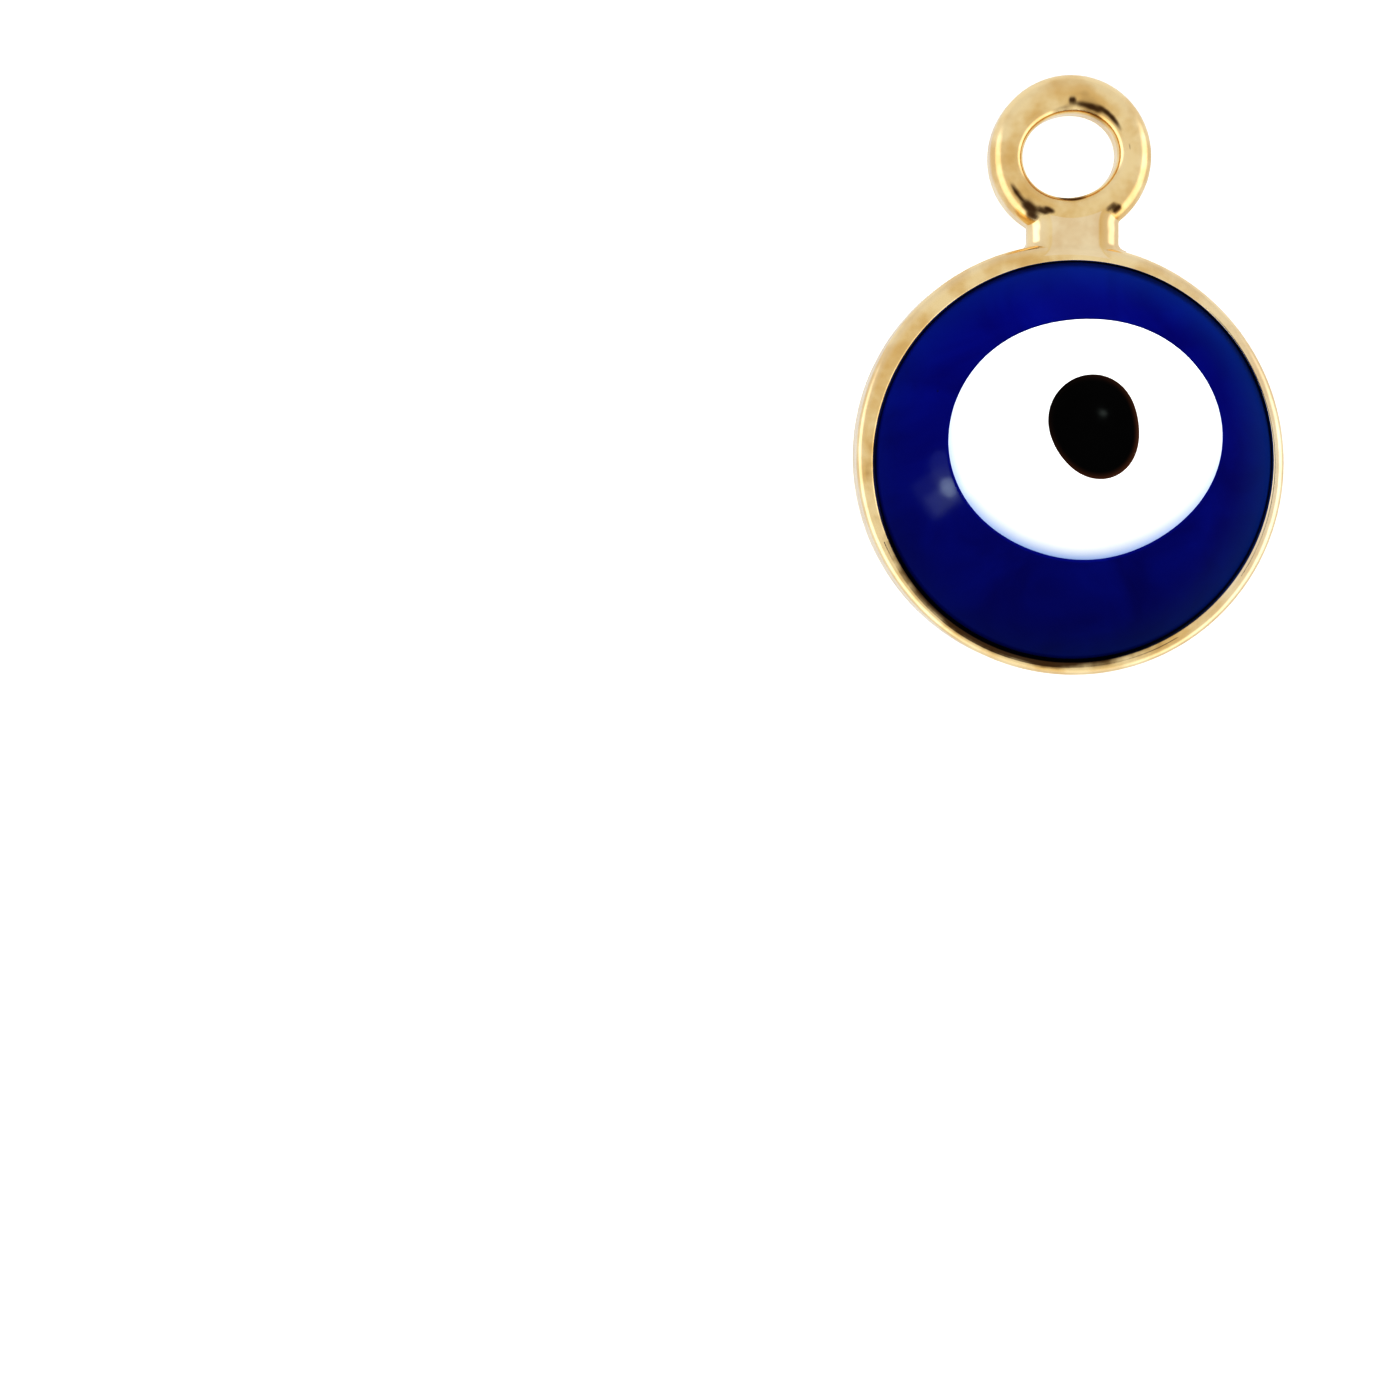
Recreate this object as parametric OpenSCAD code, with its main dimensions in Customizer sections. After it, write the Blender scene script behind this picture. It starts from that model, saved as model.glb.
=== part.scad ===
// Evil eye charm: a gold plated cast setting that holds a blue dome of enamel,
// with a white drop set in the blue and a black drop set in the white.
// It lies on its back. The origin is the centre of the flat back of the cup,
// +Y runs to the hanging loop and +Z out of the eye. Millimetres.

/* [Cup] */
// Outer diameter of the round cup
cup_d = 8; // [7.4:0.1:12]
// Height of the cup from its back to the top of its rim
cup_h = 1.6; // [1.45:0.05:3]
// Width of the bare metal rim round the enamel
rim_w = 0.32; // [0.16:0.02:0.5]
// Thickness of the metal under the enamel
floor_t = 0.6; // [0.4:0.05:0.8]
// Radius of the round edge of the back
back_r = 0.35; // [0.1:0.05:0.7]

/* [Loop] */
// Outer diameter of the hanging loop
loop_d = 3.06; // [2.7:0.02:4]
// Diameter of the hole, the thickest round ring or cord that passes
hole_d = 1.66; // [1:0.02:1.7]
// Thickness of the loop from front to back
loop_t = 1; // [0.9:0.05:1.3]
// Radius of the round outer edges of the loop
loop_edge_r = 0.3; // [0.1:0.02:0.4]
// Radius of the round edges of the hole
hole_edge_r = 0.1; // [0.06:0.02:0.3]
// Distance from the edge of the cup to the middle of the hole
loop_reach = 1.62; // [1.54:0.02:3]
// How far the face of the loop lies below the top of the rim
loop_drop = 0.1; // [0.06:0.02:0.3]

/* [Neck] */
// Width of the neck between cup and loop
neck_w = 1.7; // [1:0.05:2.2]
// How far each face of the neck lies below that of the loop
neck_step = 0.02; // [0.02:0.01:0.1]
// Radius of the round long edges of the neck
neck_edge_r = 0.18; // [0.06:0.02:0.3]
// Radius of the hollow corners where the neck meets the cup
neck_corner_r = 0.3; // [0.1:0.05:0.5]

/* [Dome] */
// Height of the top of the blue dome above the rim
dome_rise = 0.85; // [0.5:0.05:1.4]
// Depth of the edge of the blue dome below the top of the rim
edge_drop = 0.12; // [0.08:0.01:0.2]

/* [White drop] */
// Longest width of the white drop
white_l = 5.06; // [4.2:0.02:5.6]
// Width of the white drop across its longest
white_w = 4.4; // [3.8:0.02:5.2]
// Offset of the white drop from the middle of the eye, along X
white_x = 0.14; // [-0.3:0.01:0.3]
// Offset of the white drop from the middle of the eye, along Y
white_y = 0.37; // [-0.4:0.01:0.45]
// Turn of the white drop's longest width from X, in degrees
white_turn = 4; // [-30:1:30]
// Thickness of the white drop
white_t = 0.5; // [0.4:0.05:0.65]
// How far the white drop stands proud of the blue dome
white_proud = 0.04; // [0.01:0.01:0.1]

/* [Black drop] */
// Longest width of the black drop
black_l = 1.92; // [1.2:0.02:2.6]
// Width of the black drop across its longest
black_w = 1.63; // [1:0.01:2.4]
// Offset of the black drop from the middle of the eye, along X
black_x = 0.26; // [0:0.01:0.6]
// Offset of the black drop from the middle of the eye, along Y
black_y = 0.59; // [0.3:0.01:0.8]
// Turn of the black drop's longest width from X, in degrees
black_turn = 106; // [60:1:150]
// Thickness of the black drop
black_t = 0.25; // [0.15:0.01:0.3]
// How far the black drop stands proud of the white one
black_proud = 0.02; // [0.01:0.01:0.06]

/* [Fit] */
// Clearance between each drop of enamel and what holds it
fit_gap = 0.02; // [0.01:0.005:0.05]

/* [Hidden] */
$fn = 160;

cup_r = cup_d / 2;
pocket_r = cup_r - rim_w;
rim_round_z = cup_h - rim_w / 2;

loop_r = loop_d / 2;
loop_y = cup_r + loop_reach;
loop_back_z = cup_h - loop_drop - loop_t;
hole_r = hole_d / 2;
ring_mid_r = (loop_r + hole_r) / 2;

neck_t = loop_t - 2 * neck_step;
neck_half = neck_w / 2;

blue_r = pocket_r - fit_gap;
blue_bottom = floor_t + fit_gap;
dome_top = cup_h + dome_rise;
dome_edge_z = cup_h - edge_drop;
dome_h = dome_top - dome_edge_z;
// radius of the sphere that the dome is a cap of, from its height and base
dome_r = (blue_r * blue_r + dome_h * dome_h) / (2 * dome_h);
dome_centre_z = dome_top - dome_r;
// how far a cutter runs past the skin that it cuts
cut_past = 1;

// A rectangle from the corner [0, 0] to [w, h]. Its left corners are rounded
// by one radius and its right corners by another.
module round_rect(w, h, left_r, right_r) {
    for (z = [left_r, h - left_r]) translate([left_r, z]) circle(left_r);
    for (z = [right_r, h - right_r]) translate([w - right_r, z]) circle(right_r);
    translate([left_r, 0]) square([w - left_r - right_r, h]);
    translate([0, left_r]) square([w / 2, h - 2 * left_r]);
    translate([w / 2, right_r]) square([w / 2, h - 2 * right_r]);
}

// Half section of the cup: a floor with a round back edge, and a wall with
// a full round rim.
module cup_section() {
    difference() {
        union() {
            square([cup_r - back_r, back_r]);
            translate([cup_r - back_r, back_r]) circle(back_r);
            translate([0, back_r]) square([cup_r, rim_round_z - back_r]);
            translate([cup_r - rim_w / 2, rim_round_z]) circle(rim_w / 2);
        }
        translate([0, floor_t]) square([pocket_r, cup_h]);
    }
}

// The hanging loop: a flat ring with round edges, whose hole is straight in
// the middle of its wall.
module loop() {
    translate([0, loop_y, loop_back_z])
        rotate_extrude() translate([hole_r, 0])
            round_rect(loop_r - hole_r, loop_t, hole_edge_r, loop_edge_r);
}

// The neck, which ends inside the wall of the cup and inside the ring, and
// the hollow corner on each side of it.
module neck() {
    back_z = loop_back_z + neck_step;
    difference() {
        union() {
            translate([-neck_half, loop_y, back_z])
                rotate([90, 0, 0])
                    linear_extrude(loop_y) round_rect(neck_w, neck_t, neck_edge_r, neck_edge_r);
            for (side = [0, 1])
                mirror([side, 0, 0])
                    translate([0, 0, back_z + neck_edge_r])
                        linear_extrude(neck_t - 2 * neck_edge_r) neck_corner();
        }
        cylinder(r = cup_r - rim_w / 2, h = 2 * cup_h);
        translate([0, loop_y, 0]) cylinder(r = ring_mid_r, h = 2 * cup_h);
    }
}

// Plan of a hollow corner: a wedge between neck and cup less a circle that
// touches both.
module neck_corner() {
    x = neck_half + neck_corner_r;
    reach = cup_r + neck_corner_r;
    y = sqrt(reach * reach - x * x);
    touch = cup_r / reach;
    difference() {
        polygon([[neck_half / 2, y], [x, y], [x * touch, y * touch], [neck_half / 2, y * touch]]);
        translate([x, y]) circle(neck_corner_r);
    }
}

// Cup, neck and loop, cast in one.
module gold_setting() {
    color([0.88, 0.74, 0.5]) {
        rotate_extrude() cup_section();
        neck();
        loop();
    }
}

// A layer under the skin of the dome, between two depths. A negative depth
// stands proud of it.
module dome_layer(top, bottom) {
    translate([0, 0, dome_centre_z]) difference() {
        sphere(dome_r - top);
        sphere(dome_r - bottom);
    }
}

// An upright oval post, l long and w wide, with its middle at [x, y].
module oval_post(l, w, x, y, turn) {
    translate([x, y, 0]) rotate([0, 0, turn])
        linear_extrude(dome_top + cut_past) scale([l / 2, w / 2]) circle(1);
}

module white_post(grow) {
    oval_post(white_l + 2 * grow, white_w + 2 * grow, white_x, white_y, white_turn);
}

module black_post(grow) {
    oval_post(black_l + 2 * grow, black_w + 2 * grow, black_x, black_y, black_turn);
}

// The blue dome, with a bed for the white drop.
module blue_enamel() {
    color([0.02, 0.07, 0.5]) difference() {
        intersection() {
            translate([0, 0, blue_bottom]) cylinder(r = blue_r, h = dome_top);
            translate([0, 0, dome_centre_z]) sphere(dome_r);
        }
        intersection() {
            white_post(fit_gap);
            dome_layer(-cut_past, white_t + fit_gap);
        }
    }
}

// The white drop, with a bed for the black one.
module white_enamel() {
    color("white") difference() {
        intersection() {
            white_post(0);
            dome_layer(-white_proud, white_t);
        }
        intersection() {
            black_post(fit_gap);
            dome_layer(-cut_past, black_t + fit_gap - white_proud);
        }
    }
}

// The black drop, the pupil of the eye.
module black_enamel() {
    color([0.03, 0.03, 0.04]) intersection() {
        black_post(0);
        dome_layer(-white_proud - black_proud, black_t - white_proud);
    }
}

gold_setting();
blue_enamel();
white_enamel();
black_enamel();
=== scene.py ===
"""Looks of an evil eye charm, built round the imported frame.

The charm lies on its back: the back of the cup is at z = 0, +Z runs out of the
eye and +Y runs to the hanging loop. Shapes are worked out in millimetres, and
become metres when they are put into a mesh.
"""
import logging
import math
from collections.abc import Callable
from dataclasses import dataclass, field
from enum import Enum

import bpy
import numpy as np
from mathutils import Matrix, Quaternion, Vector


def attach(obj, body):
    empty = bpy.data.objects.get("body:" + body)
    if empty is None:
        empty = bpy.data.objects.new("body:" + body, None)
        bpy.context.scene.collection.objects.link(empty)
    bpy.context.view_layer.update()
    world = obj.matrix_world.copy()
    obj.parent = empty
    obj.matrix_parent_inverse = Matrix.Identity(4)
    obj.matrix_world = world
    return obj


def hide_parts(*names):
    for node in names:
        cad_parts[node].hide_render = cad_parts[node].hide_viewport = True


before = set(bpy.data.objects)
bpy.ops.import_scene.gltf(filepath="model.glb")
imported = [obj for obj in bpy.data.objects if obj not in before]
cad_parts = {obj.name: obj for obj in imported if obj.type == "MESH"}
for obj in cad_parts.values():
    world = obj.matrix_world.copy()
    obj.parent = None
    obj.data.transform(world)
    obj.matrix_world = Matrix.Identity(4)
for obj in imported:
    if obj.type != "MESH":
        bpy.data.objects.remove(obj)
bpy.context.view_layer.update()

MM = 0.001
# lengths that differ by less than this count as the same
SAME_MM = 0.001
# the pocket was cast a little off the middle, so the rim is uneven
POCKET_X = 0.06
POCKET_Y = -0.02
Values = np.ndarray | float
NodeTree = bpy.types.NodeTree
Socket = bpy.types.NodeSocket
log = logging.getLogger("charm")


# Grids and paths


def headings(count: int) -> np.ndarray:
    """Gives evenly spaced angles once round, in radians."""
    return np.linspace(0, 2 * np.pi, count, endpoint=False)


def facing(heading: np.ndarray, side: float) -> np.ndarray:
    """Gives how much headings face a side: half of 1 plus the cosine between."""
    return (1 + np.cos(heading - side)) / 2


def between(start: Values, stop: Values, share: Values) -> np.ndarray:
    """Gives points at a share of the way from one place to another."""
    return start + (stop - start) * share


def eased(share: np.ndarray) -> np.ndarray:
    """Eases shares in and out: 3 times the square less 2 times the cube."""
    return share**2 * (3 - 2 * share)


class Rows(Enum):
    """How the rows of a grid end. Its columns always close on themselves."""

    POLES = "the first and the last row shrink to a point"
    LOOP = "the last row joins the first"


@dataclass
class Skin:
    """A closed surface on a grid of two parameters.

    points has the shape (rows, columns, 3), in millimetres. paint holds one
    value for each of them under the name of a mesh attribute.
    """

    points: np.ndarray
    rows: Rows
    paint: dict[str, np.ndarray] = field(default_factory=dict)

    def vertices(self) -> np.ndarray:
        """Gives the grid as a list of points, with one point for each pole."""
        return self._flat(self.points)

    def values(self, name: str) -> np.ndarray:
        """Gives one attribute for each of the vertices."""
        return self._flat(self.paint[name][..., None])[:, 0]

    def _flat(self, grid: np.ndarray) -> np.ndarray:
        """Runs a grid into a list, with each pole as the mean of its row.

        Args:
            grid: One or more values for each row and column.

        Returns:
            The values of each vertex.
        """
        if self.rows is Rows.LOOP:
            return grid.reshape(-1, grid.shape[2])
        inner = grid[1:-1].reshape(-1, grid.shape[2])
        return np.vstack([grid[0].mean(0), inner, grid[-1].mean(0)])

    def faces(self) -> list[list[int]]:
        """Joins neighbours into faces that point outwards.

        Four neighbours on the grid make a quad, and a pole makes a triangle
        with each two neighbours next to it. The sum of the volumes between
        the quads and the origin is positive when they point outwards, so all
        faces are turned round where it isn't.

        Returns:
            The corners of each face as indices into the vertices.
        """
        count, around = self.points.shape[:2]
        here = np.arange(around)
        beside = (here + 1) % around
        if self.rows is Rows.LOOP:
            start = np.arange(count)[:, None] * around
            after = (np.arange(count)[:, None] + 1) % count * around
        else:
            start = 1 + np.arange(count - 3)[:, None] * around
            after = start + around
        quads = np.stack([start + here, after + here, after + beside, start + beside], axis=-1)
        quads = quads.reshape(-1, 4)
        spot = self.vertices()
        tris = np.empty((0, 3), int)
        if self.rows is Rows.POLES:
            last = len(spot) - 1
            final = last - around
            first_fan = np.stack([np.zeros(around, int), 1 + here, 1 + beside], axis=-1)
            last_fan = np.stack([np.full(around, last), final + beside, final + here], axis=-1)
            tris = np.vstack([first_fan, last_fan])
        a, b, c, d = (spot[quads[:, k]] for k in range(4))
        volume = np.einsum("ij,ij->", np.cross(a, b), c)
        volume += np.einsum("ij,ij->", np.cross(a, c), d)
        if volume < 0:
            quads, tris = quads[:, ::-1], tris[:, ::-1]
        return quads.tolist() + tris.tolist()


def make_piece(name: str, skins: list[Skin], node: str) -> bpy.types.Object:
    """Puts skins into one mesh that stands for a CAD node.

    Args:
        name: The name of the new piece.
        skins: The closed surfaces of the piece.
        node: The CAD node that the piece replaces.

    Returns:
        The new object, at the origin, with its place in its mesh.
    """
    spots, faces, total = [], [], 0
    for skin in skins:
        corners = skin.vertices()
        spots.append(corners)
        faces += [[total + k for k in face] for face in skin.faces()]
        total += len(corners)
    mesh = bpy.data.meshes.new(name)
    mesh.from_pydata((np.vstack(spots) * MM).tolist(), [], faces)
    for paint in skins[0].paint:
        layer = mesh.attributes.new(paint, "FLOAT", "POINT")
        layer.data.foreach_set("value", np.concatenate([s.values(paint) for s in skins]))
    mesh.polygons.foreach_set("use_smooth", np.ones(len(mesh.polygons), bool))
    mesh.update()
    piece = bpy.data.objects.new(name, mesh)
    bpy.context.scene.collection.objects.link(piece)
    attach(piece, "root")
    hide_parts(node)
    log.info("%s: %d vertices, %d faces", name, total, len(faces))
    return piece


def rounded_path(
    corners: list[tuple[float, float]],
    radii: list[float],
    closed: bool,
    arc: int = 14,
    run: int = 8,
) -> tuple[np.ndarray, np.ndarray]:
    """Works out a path of straight runs joined by arcs.

    At a corner the path turns by an angle. The arc starts before the corner by
    its radius times the tangent of half that angle. Its centre lies on the line
    that halves the corner, at the radius over the cosine of half the angle.

    Args:
        corners: The points where the runs would meet. An open path also has
            its two ends here.
        radii: The radius of the arc at each corner, without the ends.
        closed: Whether the path comes back to its start.
        arc: The number of points on an arc.
        run: The number of points inside a run.

    Returns:
        The points of the path, and how strongly each lies on a round edge.
    """
    spot = np.array(corners, float)
    if closed:
        before, middle, after = np.roll(spot, 1, 0), spot, np.roll(spot, -1, 0)
    else:
        before, middle, after = spot[:-2], spot[1:-1], spot[2:]
    radius = np.array(radii, float)[:, None]
    come = middle - before
    come /= np.linalg.norm(come, axis=1, keepdims=True)
    leave = after - middle
    leave /= np.linalg.norm(leave, axis=1, keepdims=True)
    cross = come[:, 0] * leave[:, 1] - come[:, 1] * leave[:, 0]
    turn = np.arctan2(cross, (come * leave).sum(1))[:, None]
    start = middle - come * radius * np.tan(np.abs(turn) / 2)
    side = np.sign(turn) * np.stack([-come[:, 1], come[:, 0]], axis=1)
    centre = start + side * radius
    swing = turn * np.linspace(0, 1, arc)
    cos, sin = np.cos(swing), np.sin(swing)
    spoke = start - centre
    x, y = spoke[:, :1], spoke[:, 1:]
    arcs = centre[:, None] + np.stack([x * cos - y * sin, x * sin + y * cos], axis=-1)
    mark = np.broadcast_to(np.sin(np.linspace(0, np.pi, arc)) * np.sign(turn), swing.shape)
    share = np.linspace(0, 1, run + 2)[1:-1][None, :, None]
    if closed:
        last, following = arcs[:, -1], np.roll(arcs[:, 0], -1, 0)
        runs = last[:, None] * (1 - share) + following[:, None] * share
        path = np.concatenate([arcs, runs], axis=1).reshape(-1, 2)
        marks = np.concatenate([mark, np.zeros((len(mark), run))], axis=1).reshape(-1)
        return path, marks
    last = np.vstack([spot[:1], arcs[:, -1]])
    following = np.vstack([arcs[:, 0], spot[-1:]])
    runs = last[:, None] * (1 - share) + following[:, None] * share
    path = np.concatenate([runs[:-1], arcs], axis=1).reshape(-1, 2)
    marks = np.concatenate([np.zeros((len(mark), run)), mark], axis=1).reshape(-1)
    path = np.vstack([spot[:1], path, runs[-1], spot[-1:]])
    marks = np.concatenate([[0], marks, np.zeros(run + 1)])
    return path, marks


def turned(profile: np.ndarray, marks: np.ndarray, columns: int, name: str) -> Skin:
    """Turns a profile about the Z axis.

    Args:
        profile: The radius and the height of each row.
        marks: One value of paint for each row.
        columns: The number of points once round.
        name: The name of the paint.

    Returns:
        The skin, whose first and last row are poles.
    """
    angle = headings(columns)
    radius = profile[:, :1]
    height = np.broadcast_to(profile[:, 1:], (len(profile), columns))
    points = np.stack([radius * np.cos(angle), radius * np.sin(angle), height], axis=-1)
    return Skin(points, Rows.POLES, {name: np.broadcast_to(marks[:, None], points.shape[:2])})


# Materials


class Ease(Enum):
    """How a value goes from one level to another."""

    EVEN = "LINEAR"
    SOFT = "SMOOTHSTEP"


def linear(colour: str) -> tuple[float, float, float, float]:
    """Turns an sRGB colour into linear values.

    Args:
        colour: Six hex digits, such as e0c088.

    Returns:
        Its red, green and blue, and 1 for its alpha.
    """
    part = np.array([int(colour[k : k + 2], 16) for k in (0, 2, 4)]) / 255
    value = np.where(part <= 0.04045, part / 12.92, ((part + 0.055) / 1.055) ** 2.4)
    return (*value.tolist(), 1.0)


def per_mm(size: float) -> float:
    """Gives the scale of a pattern in metres whose features are size mm wide."""
    return 1 / (size * MM)


def add_node(
    tree: NodeTree, kind: str, inputs: dict[str | int, object] | None = None, **settings: object
) -> bpy.types.Node:
    """Adds a node with its settings and links.

    Args:
        tree: The node tree that gets the node.
        kind: Its type, without the words ShaderNode.
        inputs: A constant or an output to link, for each input by its name or
            its number.
        settings: The properties of the node.

    Returns:
        The new node.
    """
    node = tree.nodes.new("ShaderNode" + kind)
    for name, value in settings.items():
        setattr(node, name, value)
    for name, value in (inputs or {}).items():
        if isinstance(value, Socket):
            tree.links.new(value, node.inputs[name])
        else:
            node.inputs[name].default_value = value
    return node


def new_material(name: str) -> tuple[bpy.types.Material, NodeTree, Socket]:
    """Starts a material with nodes.

    Args:
        name: What the material is.

    Returns:
        The material, its empty node tree, and the Object coordinates in it.
    """
    material = bpy.data.materials.new(name)
    material.use_nodes = True
    tree = material.node_tree
    tree.nodes.clear()
    place = add_node(tree, "TexCoord").outputs["Object"]
    return material, tree, place


def close_material(
    tree: NodeTree, reliefs: list[tuple[Socket, float]], inputs: dict[str | int, object]
) -> None:
    """Adds the reliefs of a material, its shader and its output.

    Each relief bends the mirror of the surface on top of the one before.

    Args:
        tree: The node tree of the material.
        reliefs: A value for each, and how high it stands in millimetres.
        inputs: A constant or an output to link, for each input of the shader.
    """
    bent = {}
    for relief, height_mm in reliefs:
        bump = {"Height": relief, "Distance": height_mm * MM, "Strength": 1.0} | bent
        bent = {"Normal": add_node(tree, "Bump", bump).outputs["Normal"]}
    shader = add_node(tree, "BsdfPrincipled", inputs | bent)
    add_node(tree, "OutputMaterial", {"Surface": shader.outputs[0]})


@dataclass(frozen=True)
class Pattern:
    """Noise whose features are size_mm wide.

    Finer layers lie over the first, as many as detail says, and each is as
    strong as roughness times the one before. Where the noise bends the mirror
    of a surface, it stands height_mm high.
    """

    size_mm: float
    detail: float
    roughness: float
    height_mm: float = 0.0
    distortion: float = 0.0

    def inputs(self, place: Socket) -> dict[str | int, object]:
        """Lists the inputs of the noise.

        Args:
            place: The coordinates that it follows, in metres.

        Returns:
            What goes into each input of a noise node.
        """
        return {
            "Vector": place,
            "Scale": per_mm(self.size_mm),
            "Detail": self.detail,
            "Roughness": self.roughness,
            "Distortion": self.distortion,
        }


@dataclass(frozen=True)
class Coat:
    """A colour over another, which shows more as a value changes.

    It starts to show where the value is start. Where the value is full, it
    hides as much of what is under it as cover says, from 0 to 1.
    """

    colour: str
    start: float
    full: float
    cover: float = 1.0
    ease: Ease = Ease.EVEN

    def lay(self, tree: NodeTree, value: Socket, under: object) -> tuple[Socket, Socket]:
        """Lays the coat over a colour.

        Args:
            tree: The node tree of the material.
            value: The value that the coat goes by.
            under: The colour under it.

        Returns:
            The colour with the coat on it, and how much the coat hides.
        """
        change = {"Value": value, "From Min": self.start, "From Max": self.full, "To Max": self.cover}
        share = add_node(tree, "MapRange", change, interpolation_type=self.ease.value).outputs["Result"]
        layers = {0: share, 6: under, 7: linear(self.colour)}
        return add_node(tree, "Mix", layers, data_type="RGBA").outputs[2], share


@dataclass(frozen=True)
class CastGold:
    """Gold plated cast brass, tumbled to a polish.

    The plating is thin and bright, so the eye sees a mirror that is bent by
    the soft waves the casting leaves. Round edges are rubbed a little lighter,
    and the same pale colour is a painted highlight on one side of the seam and
    on the face of the neck. Hollows keep a darker, redder tone, and the same
    tone is painted shade on the seam's other side and on the wall, and painted
    dark reflection and shade on the loop. Tumbling leaves fine short marks.
    """

    name: str = "gold_plated_cast_brass"
    plate: str = "ffe8b6"
    warm: str = "ecc888"
    # the pale colour is that of rubbed edges and of painted highlight; the dark hollow colour is that of
    # tarnish in hollows and of painted shade and painted dark reflection
    rubbed_and_highlight: str = "fff2dc"
    hollow: str = "40230f"
    rubbed_and_highlight_share: float = 0.6
    roughness: float = 0.17
    roughness_spread: float = 0.08
    # waves of the casting
    wave: Pattern = Pattern(size_mm=1.5, detail=1.0, roughness=0.4, height_mm=0.022)
    # lumps left by the polish
    lump: Pattern = Pattern(size_mm=0.42, detail=2.0, roughness=0.5, height_mm=0.006)
    # marks of tumbling. Real ones are under 0.01 mm wide and wouldn't show, so
    # they are drawn wider.
    mark: Pattern = Pattern(size_mm=0.06, detail=2.0, roughness=0.6, height_mm=0.0007)
    # the turn and the scale that draw the noise of the marks out into lines,
    # and the values of that noise where the gold is smoothest and roughest
    mark_turn: tuple[float, float, float] = (0.3, 0.2, 0.7)
    mark_scale: tuple[float, float, float] = (1.0, 0.16, 1.0)
    mark_range: tuple[float, float] = (0.3, 0.7)
    # patches of tone, and the values of their noise where the gold is all warm
    # and all plate
    tone: Pattern = Pattern(size_mm=0.8, detail=3.0, roughness=0.55)
    tone_range: tuple[float, float] = (0.35, 0.65)
    # how much the tone breaks up the edges of the tarnish and painted shade, how
    # far the wear falls before they show, and before they are full, and how much
    # they cover
    ragged: float = 1.6
    tarnish_and_shade_from: float = 0.15
    tarnish_and_shade_full: float = 1.05
    tarnish_and_shade_cover: float = 0.94

    def build(self) -> bpy.types.Material:
        """Builds the material from waves, lumps, marks, edge wear and painted light.

        Returns:
            The new material.
        """
        material, tree, place = new_material(self.name)
        edge = add_node(tree, "Attribute", attribute_name="edge", attribute_type="GEOMETRY").outputs["Fac"]
        tone = add_node(tree, "TexNoise", self.tone.inputs(place)).outputs["Fac"]
        summed = {0: tone, 1: self.ragged, 2: edge}
        broken = add_node(tree, "Math", summed, operation="MULTIPLY_ADD").outputs[0]
        start = self.ragged / 2 - self.tarnish_and_shade_from
        full = self.ragged / 2 - self.tarnish_and_shade_full
        # the pale coat also lays painted highlight, and the dark one painted shade and painted dark
        # reflection
        coats = (
            (Coat(self.plate, *self.tone_range, ease=Ease.SOFT), tone),
            (Coat(self.rubbed_and_highlight, 0.0, 1.0, self.rubbed_and_highlight_share), edge),
            (Coat(self.hollow, start, full, self.tarnish_and_shade_cover, Ease.SOFT), broken),
        )
        gold = linear(self.warm)
        for coat, value in coats:
            gold, _ = coat.lay(tree, value, gold)
        drawn_out = {"Vector": place, "Rotation": self.mark_turn, "Scale": self.mark_scale}
        along = add_node(tree, "Mapping", drawn_out).outputs[0]
        wave = add_node(tree, "TexNoise", self.wave.inputs(place)).outputs["Fac"]
        lump = add_node(tree, "TexNoise", self.lump.inputs(place)).outputs["Fac"]
        mark = add_node(tree, "TexNoise", self.mark.inputs(along)).outputs["Fac"]
        uneven = {
            "Value": mark,
            "From Min": self.mark_range[0],
            "From Max": self.mark_range[1],
            "To Min": self.roughness - self.roughness_spread / 2,
            "To Max": self.roughness + self.roughness_spread / 2,
        }
        rough = add_node(tree, "MapRange", uneven).outputs["Result"]
        reliefs = [(wave, self.wave.height_mm), (lump, self.lump.height_mm), (mark, self.mark.height_mm)]
        close_material(tree, reliefs, {"Base Color": gold, "Metallic": 1.0, "Roughness": rough})
        return material


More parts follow.
